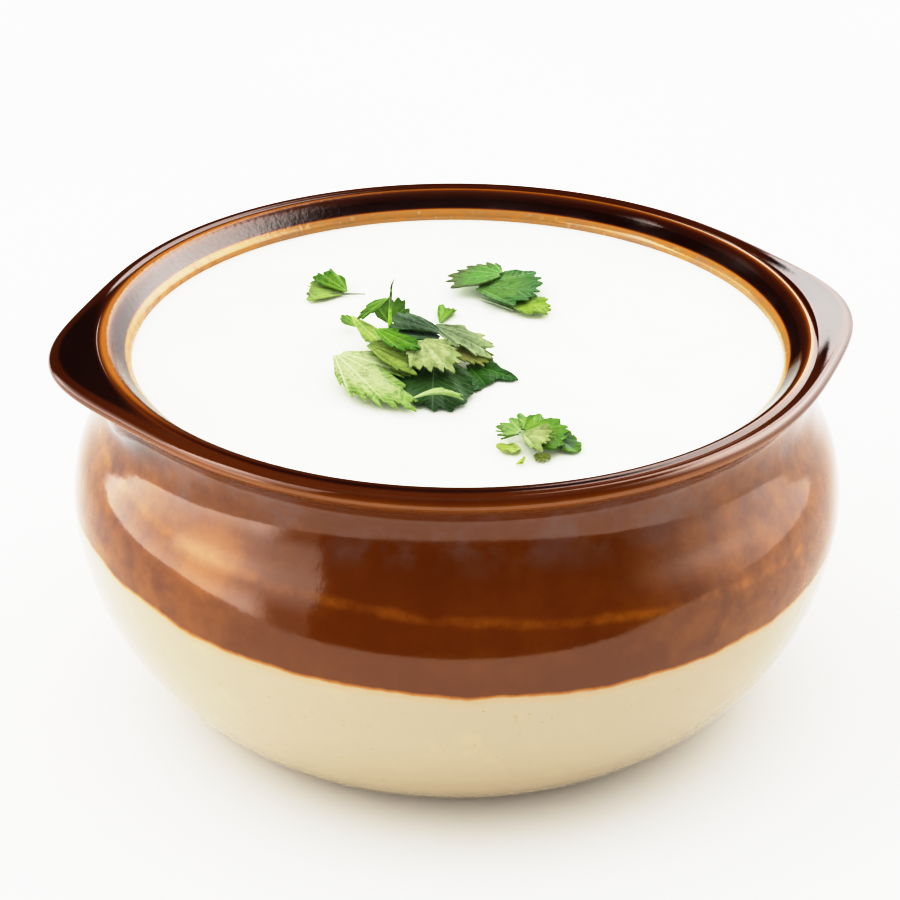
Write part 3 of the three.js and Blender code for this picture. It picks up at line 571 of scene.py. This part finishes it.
class RaitaBowlSettings(bpy.types.PropertyGroup):
    """Sizes and finish of the bowl."""
    turn_steps: bpy.props.IntProperty(
        name="Turn Steps", description="Faces round the bowl", default=256, min=48, max=360)
    right_reach: bpy.props.FloatProperty(
        name="Right Ear Reach", description="How far the right ear stands out of the edge",
        default=4.3 * MM, unit="LENGTH")
    left_reach: bpy.props.FloatProperty(
        name="Left Ear Reach", description="How far the left ear stands out of the edge",
        default=5.3 * MM, unit="LENGTH")
    right_fill: bpy.props.FloatProperty(
        name="Right Ear Fill", description="How far glaze fills the groove beside the right ear",
        default=0.7 * MM, unit="LENGTH")
    left_fill: bpy.props.FloatProperty(
        name="Left Ear Fill", description="How far glaze fills the groove beside the left ear",
        default=0.1 * MM, unit="LENGTH")
    wobble: bpy.props.FloatProperty(
        name="Wobble", description="Unevenness left by the hand on the wheel",
        default=0.35 * MM, unit="LENGTH")
    dip_height: bpy.props.FloatProperty(
        name="Dip Height", description="Lowest height of the brown glaze's edge",
        default=30.7 * MM, unit="LENGTH")
    gloss_roughness: bpy.props.FloatProperty(
        name="Glaze Roughness", description="Roughness of the fired glaze", default=0.06,
        min=0.0, max=1.0, subtype="FACTOR")


class RAITA_OT_bowl(bpy.types.Operator):
    """Turns the glazed bowl and pulls its two ears"""
    bl_idname = "raita.bowl"
    bl_label = "Glazed Bowl"

    def execute(self, context):
        settings = context.scene.raita_bowl
        points = bowl_profile()
        edges = [(i, i + 1) for i in range(len(points) - 1)]
        profile = mesh_object("bowl_profile", [(r, 0, h) for r, h, _ in points], (), edges)
        shares = ear_shares(points)
        store(profile, "glaze", [p[2] for p in points])
        store(profile, "ear_share", [s[0] for s in shares])
        store(profile, "fill_share", [s[1] for s in shares])
        store(profile, "wobble_share", [smooth(h / 10) * (1 - smooth((h - 44) / 8))
                                        if i < 80 else 0.0 for i, (_, h, _) in enumerate(points)])
        bowl = grown(profile, turned_form_tree(), {
            "Turn Steps": settings.turn_steps, "Right Ear Azimuth": math.radians(7.5),
            "Left Ear Azimuth": math.radians(194.3), "Right Ear Reach": settings.right_reach,
            "Left Ear Reach": settings.left_reach, "Right Ear Fill": settings.right_fill,
            "Left Ear Fill": settings.left_fill,
            "Wobble": settings.wobble, "Seed": 3.0,
            "Material": stoneware_glaze(settings)}, "glazed_bowl")
        finish_piece(bowl, "bowl")
        return {"FINISHED"}


# ---- Raita ----------------------------------------------------------------------------------
# Soft ridges and dents that the spoon and the leaves left: place, height and half width in mm.
SOFT_MARKS = [(-24.0, 22.5, 0.5, 1.3), (-45.0, 12.0, 0.35, 1.2), (-44.0, 17.0, 0.3, 1.6),
              (-44.5, 7.0, 0.25, 1.4), (4.0, 13.2, 0.35, 1.1), (7.5, 11.0, 0.3, 1.0),
              (-16.5, -24.0, 0.25, 1.6), (22.0, -9.0, 0.2, 3.0), (-30.0, -20.0, 0.18, 4.0),
              (30.0, 14.0, 0.16, 4.5), (12.0, 30.0, 0.2, 3.0), (-12.0, 32.0, 0.16, 3.5)]


def raita_height(x, y, settings):
    """Height of the yoghurt in millimetres: nearly flat, softly uneven, drawn up at the wall."""
    radius = math.hypot(x, y)
    fade = 1 - smooth((radius - 40) / 9)
    wave = math.sin(x / 9 + 0.6) * math.cos(y / 11 - 0.4) + 0.5 * math.sin((x - y) / 6)
    height = RAITA_LEVEL + settings.wave_height / MM * wave * fade
    for mx, my, rise, wide in SOFT_MARKS:
        height += rise * math.exp(-((x - mx) ** 2 + (y - my) ** 2) / wide ** 2)
    rim = LEDGE_RADIUS + 0.03
    return height + settings.meniscus / MM * math.exp((radius - rim) / 0.7)


def yoghurt(settings):
    """Strained yoghurt: dense white milk curd, wet and softly glossy. Light goes a little way in,
    so its shadows are pale and its edges glow."""
    material, tree, shader, place = material_of("Strained yoghurt")
    cloud = noise_of(tree, place, 14, 3)
    curd = noise_of(tree, place, 1.6, 3, 0.6)
    colour = mix_of(tree, step_between(cloud, 0.35, 0.7), linear(settings.colour_hex), linear("#f3f4e8"))
    water = step_between(noise_of(tree, place, 3.5, 2), 0.68, 0.82) * 0.25
    colour = mix_of(tree, water, colour, linear("#e0e6da"))
    tree.links.new(colour.socket, shader.inputs["Base Color"])
    rough = curd * 0.14 + settings.wetness
    tree.links.new(rough.socket, shader.inputs["Roughness"])
    shader.inputs["IOR"].default_value = 1.35
    shader.inputs["Subsurface Weight"].default_value = 0.35
    shader.inputs["Subsurface Radius"].default_value = (1.0, 0.95, 0.8)
    shader.inputs["Subsurface Scale"].default_value = 1.5 * MM
    relief(tree, shader, curd * 0.25 + cloud, 0.25, 0.25)
    return material


class RaitaYoghurtSettings(bpy.types.PropertyGroup):
    """Surface of the yoghurt."""
    wave_height: bpy.props.FloatProperty(
        name="Wave Height", description="Soft unevenness of the surface", default=0.12 * MM,
        unit="LENGTH")
    meniscus: bpy.props.FloatProperty(
        name="Meniscus", description="How far the yoghurt is drawn up at the wall",
        default=0.3 * MM, unit="LENGTH")
    wetness: bpy.props.FloatProperty(
        name="Surface Roughness", description="Roughness of the wet surface", default=0.3,
        min=0.0, max=1.0, subtype="FACTOR")
    colour_hex: bpy.props.StringProperty(
        name="Colour", description="sRGB hex colour of the yoghurt", default="#fbfbf2")


class RAITA_OT_yoghurt(bpy.types.Operator):
    """Fills the bowl with yoghurt up to its level"""
    bl_idname = "raita.yoghurt"
    bl_label = "Yoghurt"

    def execute(self, context):
        settings = context.scene.raita_yoghurt
        turns = 192
        # It reaches just into the wall, so that no gap shows between the two.
        rim = LEDGE_RADIUS + 0.03
        wall = spline(inner_wall(-0.03)[::-1], 3) + [(rim, 55.9), (rim, 56.5)]
        top = [rim * (1 - (i / 84) ** 1.15) for i in range(84)]
        points = [(0, 0, FLOOR - 0.03)]
        rings = [(r, h) for r, h in wall] + [(r, None) for r in top if r > 0]
        for radius, height in rings:
            for k in range(turns):
                a = math.tau * k / turns
                x, y = radius * math.cos(a), radius * math.sin(a)
                points.append((x, y, raita_height(x, y, settings) if height is None else height))
        points.append((0, 0, raita_height(0, 0, settings)))
        at = lambda ring, k: 1 + ring * turns + k % turns
        faces = [(0, at(0, k + 1), at(0, k)) for k in range(turns)]
        for ring in range(len(rings) - 1):
            faces += [(at(ring, k), at(ring, k + 1), at(ring + 1, k + 1), at(ring + 1, k))
                      for k in range(turns)]
        last = len(rings) - 1
        faces += [(at(last, k), at(last, k + 1), len(points) - 1) for k in range(turns)]
        raita = mesh_object("yoghurt", points, faces)
        raita.data.materials.append(yoghurt(settings))
        finish_piece(raita, "raita", 40)
        return {"FINISHED"}


# ---- Coriander ------------------------------------------------------------------------------
def leaf_tree():
    """A leaf as a fan of rays from its stalk end: bent, waved at its edge, and given thickness. It
    keeps how far a point is from the stalk end and from the nearest main vein."""
    tree, given = tree_with_inputs("Coriander leaf", [
        ("Rings", "Int", 12), ("Length", "Float", 0.01), ("Stalk End", "Float", STALK_END),
        ("Place", "Vector", (0, 0, 0)), ("Heading", "Float", 0.0), ("Pitch", "Float", 0.0),
        ("Roll", "Float", 0.0), ("Arch", "Float", 0.0), ("Edge Wave", "Float", 0.0),
        ("Crumple", "Float", 0.0), ("Cupping", "Float", 0.0), ("Seed", "Float", 0.0),
        ("Thickness", "Float", 0.0003), ("Main Veins", "Int", 3), ("Side Veins", "Float", 0.3),
        ("Blade", "Color", None), ("Outer Edge", "Color", None), ("Veins", "Color", None),
        ("Material", "Material", None)])
    rings = given["Rings"]
    grid, ring, _, read = grid_over(tree, given["Geometry"], rings + 1)
    outline = add(tree, "ShaderNodeSeparateXYZ", {0: read("position", "FLOAT_VECTOR")})
    angle, reach = out(outline, "X"), out(outline, "Y")
    along_ray = ring / rings
    stalk_end = given["Stalk End"]
    far = (stalk_end + (reach - stalk_end) * along_ray) * given["Length"]
    along, across = far * angle.do("COSINE"), far * angle.do("SINE")
    tooth, share, spread = read("tooth"), read("share"), read("spread")
    # The blade is drawn down along each main vein and swells between them.
    veins = given["Main Veins"]
    from_vein = ((share * veins).do("FRACT") - 0.5).do("ABSOLUTE") * 2.0
    side = from_vein * 0.5 * far * spread / veins
    quilt = (from_vein * math.pi * 0.5).do("SINE") * given["Cupping"] * along_ray
    links = {"Vector": out(add(tree, "ShaderNodeCombineXYZ", {"X": along, "Y": across})),
             "W": given["Seed"], "Scale": 420.0, "Detail": 2.0}
    noise = out(add(tree, "ShaderNodeTexNoise", links, noise_dimensions="4D"), "Fac")
    rise = (along * given["Pitch"].do("TANGENT") + across * given["Roll"].do("TANGENT")
            + given["Arch"] * (along / given["Length"] * math.pi).do("SINE")
            + given["Edge Wave"] * along_ray * (tooth * 1.7 + given["Length"] / MM).do("SINE")
            + (noise - 0.5) * given["Crumple"] * along_ray.do("SQRT") + quilt)
    way = given["Heading"] + angle
    place = add(tree, "ShaderNodeSeparateXYZ", {0: given["Place"]})
    leaf = move_points(tree, grid, out(place, "X") + far * way.do("COSINE"),
                       out(place, "Y") + far * way.do("SINE"), out(place, "Z") + rise)
    numbers = [("out", far / MM), ("side", side / MM), ("edge", along_ray),
               ("hatch", given["Side Veins"] + along_ray * 0.0)]
    for name, value in numbers:
        leaf = keep_attribute(tree, leaf, name, value)
    for name, label in (("blade", "Blade"), ("rim", "Outer Edge"), ("vein", "Veins")):
        leaf = keep_attribute(tree, leaf, name, given[label], "FLOAT_COLOR")
    back = out(add(tree, "GeometryNodeFlipFaces", {"Mesh": leaf}))
    up = out(add(tree, "ShaderNodeCombineXYZ", {"Z": 1.0}))
    front = out(add(tree, "GeometryNodeExtrudeMesh", {
        "Mesh": leaf, "Offset": up, "Offset Scale": given["Thickness"], "Individual": False},
        mode="FACES"), "Mesh")
    both = add(tree, "GeometryNodeJoinGeometry")
    for half in (front, back):
        tree.links.new(half.socket, both.inputs[0])
    closed = add(tree, "GeometryNodeMergeByDistance", {"Geometry": out(both), "Distance": 1e-7})
    end_tree(tree, out(closed), given["Material"])
    return tree


def coriander_blade(settings):
    """Fresh coriander: a thin waxy leaf with paler veins. It is satin on top, lets light through
    and is a little darker and rougher between its side veins."""
    material, tree, shader, place = material_of("Fresh coriander leaf")

    def read(name, output="Fac"):
        return out(add(tree, "ShaderNodeAttribute", attribute_name=name), output)

    far, side, edge, hatch = read("out"), read("side"), read("edge"), read("hatch")
    blade, rim, vein = read("blade", "Color"), read("rim", "Color"), read("vein", "Color")
    mottle = noise_of(tree, place, 1.3, 3, 0.6)
    fine = noise_of(tree, place, 0.35, 2, 0.7)
    colour = mix_of(tree, step_between(edge + (mottle - 0.5) * 0.5, 0.55, 1.0), blade, rim)
    # Side veins leave the main ones slantwise about 1 mm apart; cells between them are darker.
    slant = (far - side * 1.1 + (mottle - 0.5) * 1.7) * (math.tau / 1.25)
    ribs = step_between(slant.do("COSINE"), 0.3, 1.0) * step_between(mottle, 0.3, 0.62)
    patch = (mottle - 0.5) * 0.9 + (fine - 0.5) * 0.5
    dark = mix_of(tree, 1.0, colour, linear("#8a9668"), "MULTIPLY")
    colour = mix_of(tree, step_between(patch, -0.08, 0.35) * 0.6, colour, dark)
    colour = mix_of(tree, ribs * hatch, colour, vein)
    main = 1.0 - step_between(side, 0.05, 0.2)
    main = main * (1.0 - edge * 0.6)
    colour = mix_of(tree, main * 0.8, colour, vein)
    tree.links.new(colour.socket, shader.inputs["Base Color"])
    shader.inputs["Roughness"].default_value = settings.roughness
    shader.inputs["IOR"].default_value = 1.42
    relief(tree, shader, ribs * 0.6 + main + mottle * 0.8 + fine * 0.3, 0.6, 0.12)
    through = add(tree, "ShaderNodeBsdfTranslucent", {"Color": colour})
    links = {0: settings.translucency, 1: shader.outputs[0], 2: through.outputs[0]}
    both = add(tree, "ShaderNodeMixShader", links)
    tree.links.new(both.outputs[0], tree.nodes["Material Output"].inputs["Surface"])
    return material


class RaitaLeafSettings(bpy.types.PropertyGroup):
    """Build and finish of the coriander."""
    thickness: bpy.props.FloatProperty(
        name="Leaf Thickness", description="Thickness of a leaf", default=0.22 * MM, unit="LENGTH")
    ray_steps: bpy.props.IntProperty(
        name="Steps per Tooth", description="Rays across half a tooth", default=4, min=2, max=8)
    rings: bpy.props.IntProperty(
        name="Rings", description="Rows from stalk end to edge", default=14, min=4, max=40)
    spread: bpy.props.FloatProperty(
        name="Spread", description="Share by which a leaf outgrows its node", default=1.07,
        min=0.9, max=1.15)
    cupping: bpy.props.FloatProperty(
        name="Cupping", description="How far the blade swells between its main veins",
        default=0.3 * MM, unit="LENGTH")
    crumple: bpy.props.FloatProperty(
        name="Crumple", description="Scale of the small uneven folds", default=2.2 * MM,
        unit="LENGTH")
    roughness: bpy.props.FloatProperty(
        name="Leaf Roughness", description="Roughness of the waxy blade", default=0.42,
        min=0.0, max=1.0, subtype="FACTOR")
    translucency: bpy.props.FloatProperty(
        name="Translucency", description="Share of the light that passes through", default=0.25,
        min=0.0, max=1.0, subtype="FACTOR")


def toothed(teeth_on, seed):
    """How far the edge reaches, 0 in a notch and up to 1 at a tip: pointed teeth of uneven depth,
    leaning on, each with a small notch of its own."""
    number = int(teeth_on)
    part = teeth_on - number
    uneven = math.sin(number * 12.9 + seed * 7.7) * 0.5 + 0.5
    tip = part / 0.625 if part < 0.625 else (1 - part) / 0.375
    notch = 0.18 if abs(part - 0.25) < 0.01 or abs(part - 0.875) < 0.01 else 0.0
    return max(0.0, (0.72 + 0.28 * uneven) * tip ** 0.85 - notch)


class RAITA_OT_leaves(bpy.types.Operator):
    """Grows each coriander leaf on the node that stands for it"""
    bl_idname = "raita.leaves"
    bl_label = "Coriander Leaves"

    def execute(self, context):
        settings = context.scene.raita_leaves
        tree = leaf_tree()
        material = coriander_blade(settings)
        for number, row in enumerate(LEAVES):
            (name, place, heading, length, tilt, arch, wave, spread, teeth, bite, reach, veins,
             side_veins, crumple, blade, rim, vein) = row
            steps = 2 * teeth * settings.ray_steps
            shares = [i / steps for i in range(steps + 1)]
            points = []
            for share in shares:
                low = min(int(share * (len(reach) - 1)), len(reach) - 2)
                part = share * (len(reach) - 1) - low
                far = reach[low] * (1 - part) + reach[low + 1] * part
                far *= 1 - (bite * 1.3 + 0.03) * (1 - toothed(share * teeth, number))
                angle = math.radians(spread[0] + (spread[1] - spread[0]) * share)
                points.append((angle / MM, far / MM, 0))
            edges = [(i, i + 1) for i in range(steps)]
            outline = mesh_object("leaf_outline", points, (), edges)
            store(outline, "share", shares)
            store(outline, "tooth", [share * 2 * teeth for share in shares])
            store(outline, "spread", [math.radians(spread[1] - spread[0])] * (steps + 1))
            leaf = grown(outline, tree, {
                "Rings": settings.rings, "Length": length * settings.spread * MM,
                "Heading": math.radians(heading),
                "Place": (place[0] * MM, place[1] * MM, 0.0), "Pitch": math.radians(tilt[0]),
                "Roll": math.radians(tilt[1]), "Arch": arch * MM, "Edge Wave": wave * MM,
                "Crumple": crumple * settings.crumple, "Cupping": settings.cupping,
                "Seed": float(number), "Thickness": settings.thickness, "Main Veins": veins,
                "Side Veins": side_veins, "Blade": base_of(blade, LEAF_LIGHT),
                "Outer Edge": base_of(rim, LEAF_LIGHT), "Veins": base_of(vein, LEAF_LIGHT),
                "Material": material}, "coriander_" + name)
            node = "leaf_" + name
            lowest = min(v.co.z for v in leaf.data.vertices)
            leaf.data.transform(Matrix.Translation((0, 0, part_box(node)[0].z - lowest)))
            finish_piece(leaf, node, 50)
        return {"FINISHED"}


def coriander_stalk():
    """A fresh coriander stalk: juicy and finely ribbed, bright below and dull at its dry tip."""
    material, tree, shader, place = material_of("Fresh coriander stalk")
    axes = add(tree, "ShaderNodeSeparateXYZ", {0: place})
    height = out(axes, "Z") / MM
    colour = ramp_of(tree, step_between(height, RAITA_LEVEL + 3.0, RAITA_LEVEL + 11.0),
                     [(0.0, "#a0d04a"), (0.35, "#8cbc40"), (0.6, "#6f8f52"), (1.0, "#4c5c40")])
    streaks = noise_of(tree, place, 0.5, 2)
    colour = mix_of(tree, step_between(streaks, 0.5, 0.7) * 0.5, colour, linear("#cfe39a"))
    tree.links.new(colour.socket, shader.inputs["Base Color"])
    shader.inputs["Roughness"].default_value = 0.35
    shader.inputs["IOR"].default_value = 1.42
    shader.inputs["Subsurface Weight"].default_value = 0.3
    shader.inputs["Subsurface Scale"].default_value = 0.6 * MM
    relief(tree, shader, streaks, 0.5, 0.1)
    return material


class RAITA_OT_stalk(bpy.types.Operator):
    """Builds the one stalk that stands up out of the heap, with its hooked tip"""
    bl_idname = "raita.stalk"
    bl_label = "Coriander Stalk"

    def execute(self, context):
        foot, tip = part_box("stalk")
        low = (-10.3, -1.2, foot.z / MM)
        height = (tip.z - foot.z) / MM
        rings, sides = 36, 14
        points, faces = [], []
        for i in range(rings + 1):
            t = i / rings
            hook = smooth((t - 0.82) / 0.18)
            x = low[0] + 0.25 * t - 0.2 * math.sin(math.pi * t) + 0.35 * hook * hook
            y = low[1] + 0.3 * t
            z = low[2] + height * 1.07 * t
            thick = 0.36 * (1 - t) ** 0.8 + 0.09 + 0.05 * math.sin(9 * t) * (1 - t)
            thick *= 0.35 + 0.65 * min(1.0, (1 - t) * 12) if t > 0.9 else 1
            for k in range(sides):
                a = math.tau * k / sides
                ribbed = thick * (1 + 0.09 * math.cos(5 * a + 2 * t))
                points.append((x + ribbed * math.cos(a), y + ribbed * math.sin(a), z))
        for i in range(rings):
            for k in range(sides):
                a, b = i * sides + k, i * sides + (k + 1) % sides
                faces.append((a, b, b + sides, a + sides))
        faces.append(tuple(range(sides))[::-1])
        faces.append(tuple(rings * sides + k for k in range(sides)))
        stalk = mesh_object("coriander_stalk", points, faces)
        stalk.data.materials.append(coriander_stalk())
        finish_piece(stalk, "stalk", 50)
        return {"FINISHED"}


# ---- Stage ----------------------------------------------------------------------------------
class RaitaStageSettings(bpy.types.PropertyGroup):
    """Floor, light and camera."""
    overhead: bpy.props.FloatProperty(
        name="Overhead Light", description="Brightness of the soft light overhead", default=0.3, min=0.0)
    right_light: bpy.props.FloatProperty(
        name="Right Light", description="Brightness of the wide light to the right", default=5.3, min=0.0)
    left_light: bpy.props.FloatProperty(
        name="Left Light", description="Brightness of the low light to the left", default=7.0, min=0.0)
    fill_light: bpy.props.FloatProperty(
        name="Fill Light", description="Brightness of the diffused light from all but the front",
        default=2.7, min=0.0)
    room: bpy.props.FloatProperty(
        name="Room", description="Brightness of the rest of the room", default=0.06, min=0.0)
    floor_edge: bpy.props.FloatProperty(
        name="Floor Edge", description="How far the floor reaches to the front", default=0.19,
        unit="LENGTH")
    focal_length: bpy.props.FloatProperty(
        name="Focal Length", description="Lens length in millimetres on a 36 mm wide film",
        default=100.0, min=10.0)


CAMERA_PLACE = (0, -349.70, 222.73)
CAMERA_DOWN = 27.770  # degrees below level, then the turn to the left and the roll
CAMERA_TURN = 0.180
CAMERA_ROLL = 0.270

# The tones of the picture: linear light, and how bright the camera shows it. Dark tones are drawn
# down and bright ones are held back from white.
TONES = [(0, 0), (0.03, 0.0052), (0.08, 0.0226), (0.15, 0.0581), (0.25, 0.125), (0.4, 0.253),
         (0.55, 0.408), (0.75, 0.615), (1, 0.79), (1.3, 0.885), (1.7, 0.938), (2.2, 0.97),
         (3, 0.99), (4, 1)]


def set_tones(view):
    """Gives the view the tones above."""
    view.view_transform = "Standard"
    view.look = "None"
    view.use_curve_mapping = True
    curves = view.curve_mapping
    brightest = TONES[-1][0]
    curves.white_level = (brightest, brightest, brightest)
    points = curves.curves[3].points
    while len(points) < len(TONES):
        points.new(0.5, 0.5)
    for point, (light, shown) in zip(points, TONES):
        point.location = (light / brightest, shown)
        point.handle_type = "AUTO_CLAMPED"
    curves.update()


def studio_world(settings):
    """Diffused white light from all sides but the front. What shines in the glaze are a wide light
    to the right and behind, a low one to the left and one overhead, in a dark room. The camera
    itself sees plain white."""
    world = bpy.data.worlds.new("Soft white studio")
    bpy.context.scene.world = world
    world.use_nodes = True
    tree = world.node_tree
    way = out(add(tree, "ShaderNodeTexCoord"), "Generated")
    axes = add(tree, "ShaderNodeSeparateXYZ", {0: way})
    x, y, z = (out(axes, axis) for axis in "XYZ")
    azimuth = math_of(tree, "ARCTAN2", y, x) * (180 / math.pi)
    height = z.do("ARCSINE") * (180 / math.pi)

    # The right light fades out slowly to the front and ends sharply behind. The left one ends
    # sharply in front and is brightest straight to the left.
    right = step_between(azimuth, -46, 14).do("POWER", 1.2) * (1.0 - step_between(azimuth, 81, 85))
    right = right * window(height, -60, 50, 5, 10) * (step_between(height, 10, 30) * 0.95 + 1.0)
    right = right * (1.0 - step_between(azimuth, 35, 72) * 0.42)
    turned = azimuth.do("ABSOLUTE") * -1.0
    left = step_between(azimuth * -1.0, 129.5, 132) * ((1.0 - step_between(turned, -184, -134)) * 0.66 + 0.34)
    left = left * window(height, -60, 46, 5, 7) * (step_between(height, 12, 28) * 0.5 + 1.0)
    rising = step_between(height, -2, 20)
    beside = (1.0 - step_between(turned, -150, -138)) * (1.0 - step_between(height, -4, 42))
    left = (left * (rising * 0.62 + 0.38)).do("MAXIMUM", beside * 0.9)
    right = right * (rising * 0.25 + 0.75)
    above = step_between(height, 58, 72)
    lamps = (right * settings.right_light + left * settings.left_light
             + above * settings.overhead + settings.room)
    front = window(azimuth, -136, -24, 20, 20) * (1.0 - above)
    fill = (1.0 - front * 0.45) * settings.fill_light * (step_between(x * -1.0, -0.2, 0.9) * 0.35 + 0.92)
    path = add(tree, "ShaderNodeLightPath")
    seen, mirrored = out(path, "Is Camera Ray"), out(path, "Is Glossy Ray")
    light = fill * (1.0 - mirrored) + lamps * mirrored
    strength = light * (1.0 - seen) + seen * 2.5
    background = tree.nodes["Background"]
    background.inputs["Color"].default_value = (1.0, 1.0, 1.0, 1.0)
    tree.links.new(strength.socket, background.inputs["Strength"])


def pale_floor():
    """Matt white board, faintly uneven in tone."""
    material, tree, shader, place = material_of("Matt white board")
    tone = noise_of(tree, place, 160, 1)
    colour = mix_of(tree, step_between(tone, 0.35, 0.65), linear("#f9f8f5"), linear("#fcfcfa"))
    tree.links.new(colour.socket, shader.inputs["Base Color"])
    shader.inputs["Roughness"].default_value = 0.8
    shader.inputs["Specular IOR Level"].default_value = 0.2
    return material


class RAITA_OT_stage(bpy.types.Operator):
    """Lays the floor, lights the scene softly and sets the camera"""
    bl_idname = "raita.stage"
    bl_label = "Stage"

    def execute(self, context):
        settings = context.scene.raita_stage
        front, back, wide = -settings.floor_edge / MM, 1500, 1500
        floor = mesh_object("floor", [(-wide, front, -0.05), (wide, front, -0.05),
                                      (wide, back, -0.05), (-wide, back, -0.05)], [(0, 1, 2, 3)])
        floor.data.materials.append(pale_floor())
        studio_world(settings)
        data = bpy.data.cameras.new("camera")
        data.lens = settings.focal_length
        data.sensor_width = 36.0
        data.clip_start = 0.01
        camera = bpy.data.objects.new("camera", data)
        context.scene.collection.objects.link(camera)
        aim = (Matrix.Rotation(math.radians(CAMERA_TURN), 4, "Z")
               @ Matrix.Rotation(math.radians(90 - CAMERA_DOWN), 4, "X")
               @ Matrix.Rotation(math.radians(CAMERA_ROLL), 4, "Z"))
        camera.matrix_world = Matrix.Translation(Vector(CAMERA_PLACE) * MM) @ aim
        context.scene.camera = camera
        set_tones(context.scene.view_settings)
        return {"FINISHED"}


# ---- Panel and registration -----------------------------------------------------------------
SETTINGS = [("raita_bowl", RaitaBowlSettings), ("raita_yoghurt", RaitaYoghurtSettings),
            ("raita_leaves", RaitaLeafSettings), ("raita_stage", RaitaStageSettings)]
OPERATORS = [RAITA_OT_bowl, RAITA_OT_yoghurt, RAITA_OT_leaves, RAITA_OT_stalk, RAITA_OT_stage]


class RAITA_PT_panel(bpy.types.Panel):
    """Lists the pieces of the bowl of raita and their settings"""
    bl_idname = "RAITA_PT_panel"
    bl_label = "Bowl of Raita"
    bl_space_type = "VIEW_3D"
    bl_region_type = "UI"
    bl_category = "Raita"

    def draw(self, context):
        for operator in OPERATORS:
            self.layout.operator(operator.bl_idname)
        for name, group in SETTINGS:
            box = self.layout.box()
            for field in group.__annotations__:
                box.prop(getattr(context.scene, name), field)


CLASSES = [group for _, group in SETTINGS] + OPERATORS + [RAITA_PT_panel]


def register():
    for cls in CLASSES:
        bpy.utils.register_class(cls)
    for name, group in SETTINGS:
        setattr(bpy.types.Scene, name, bpy.props.PointerProperty(type=group))


def unregister():
    for name, _ in SETTINGS:
        delattr(bpy.types.Scene, name)
    for cls in reversed(CLASSES):
        bpy.utils.unregister_class(cls)


def main():
    register()
    bpy.ops.raita.bowl()
    bpy.ops.raita.yoghurt()
    bpy.ops.raita.leaves()
    bpy.ops.raita.stalk()
    bpy.ops.raita.stage()
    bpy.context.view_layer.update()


if __name__ == "__main__":
    main()
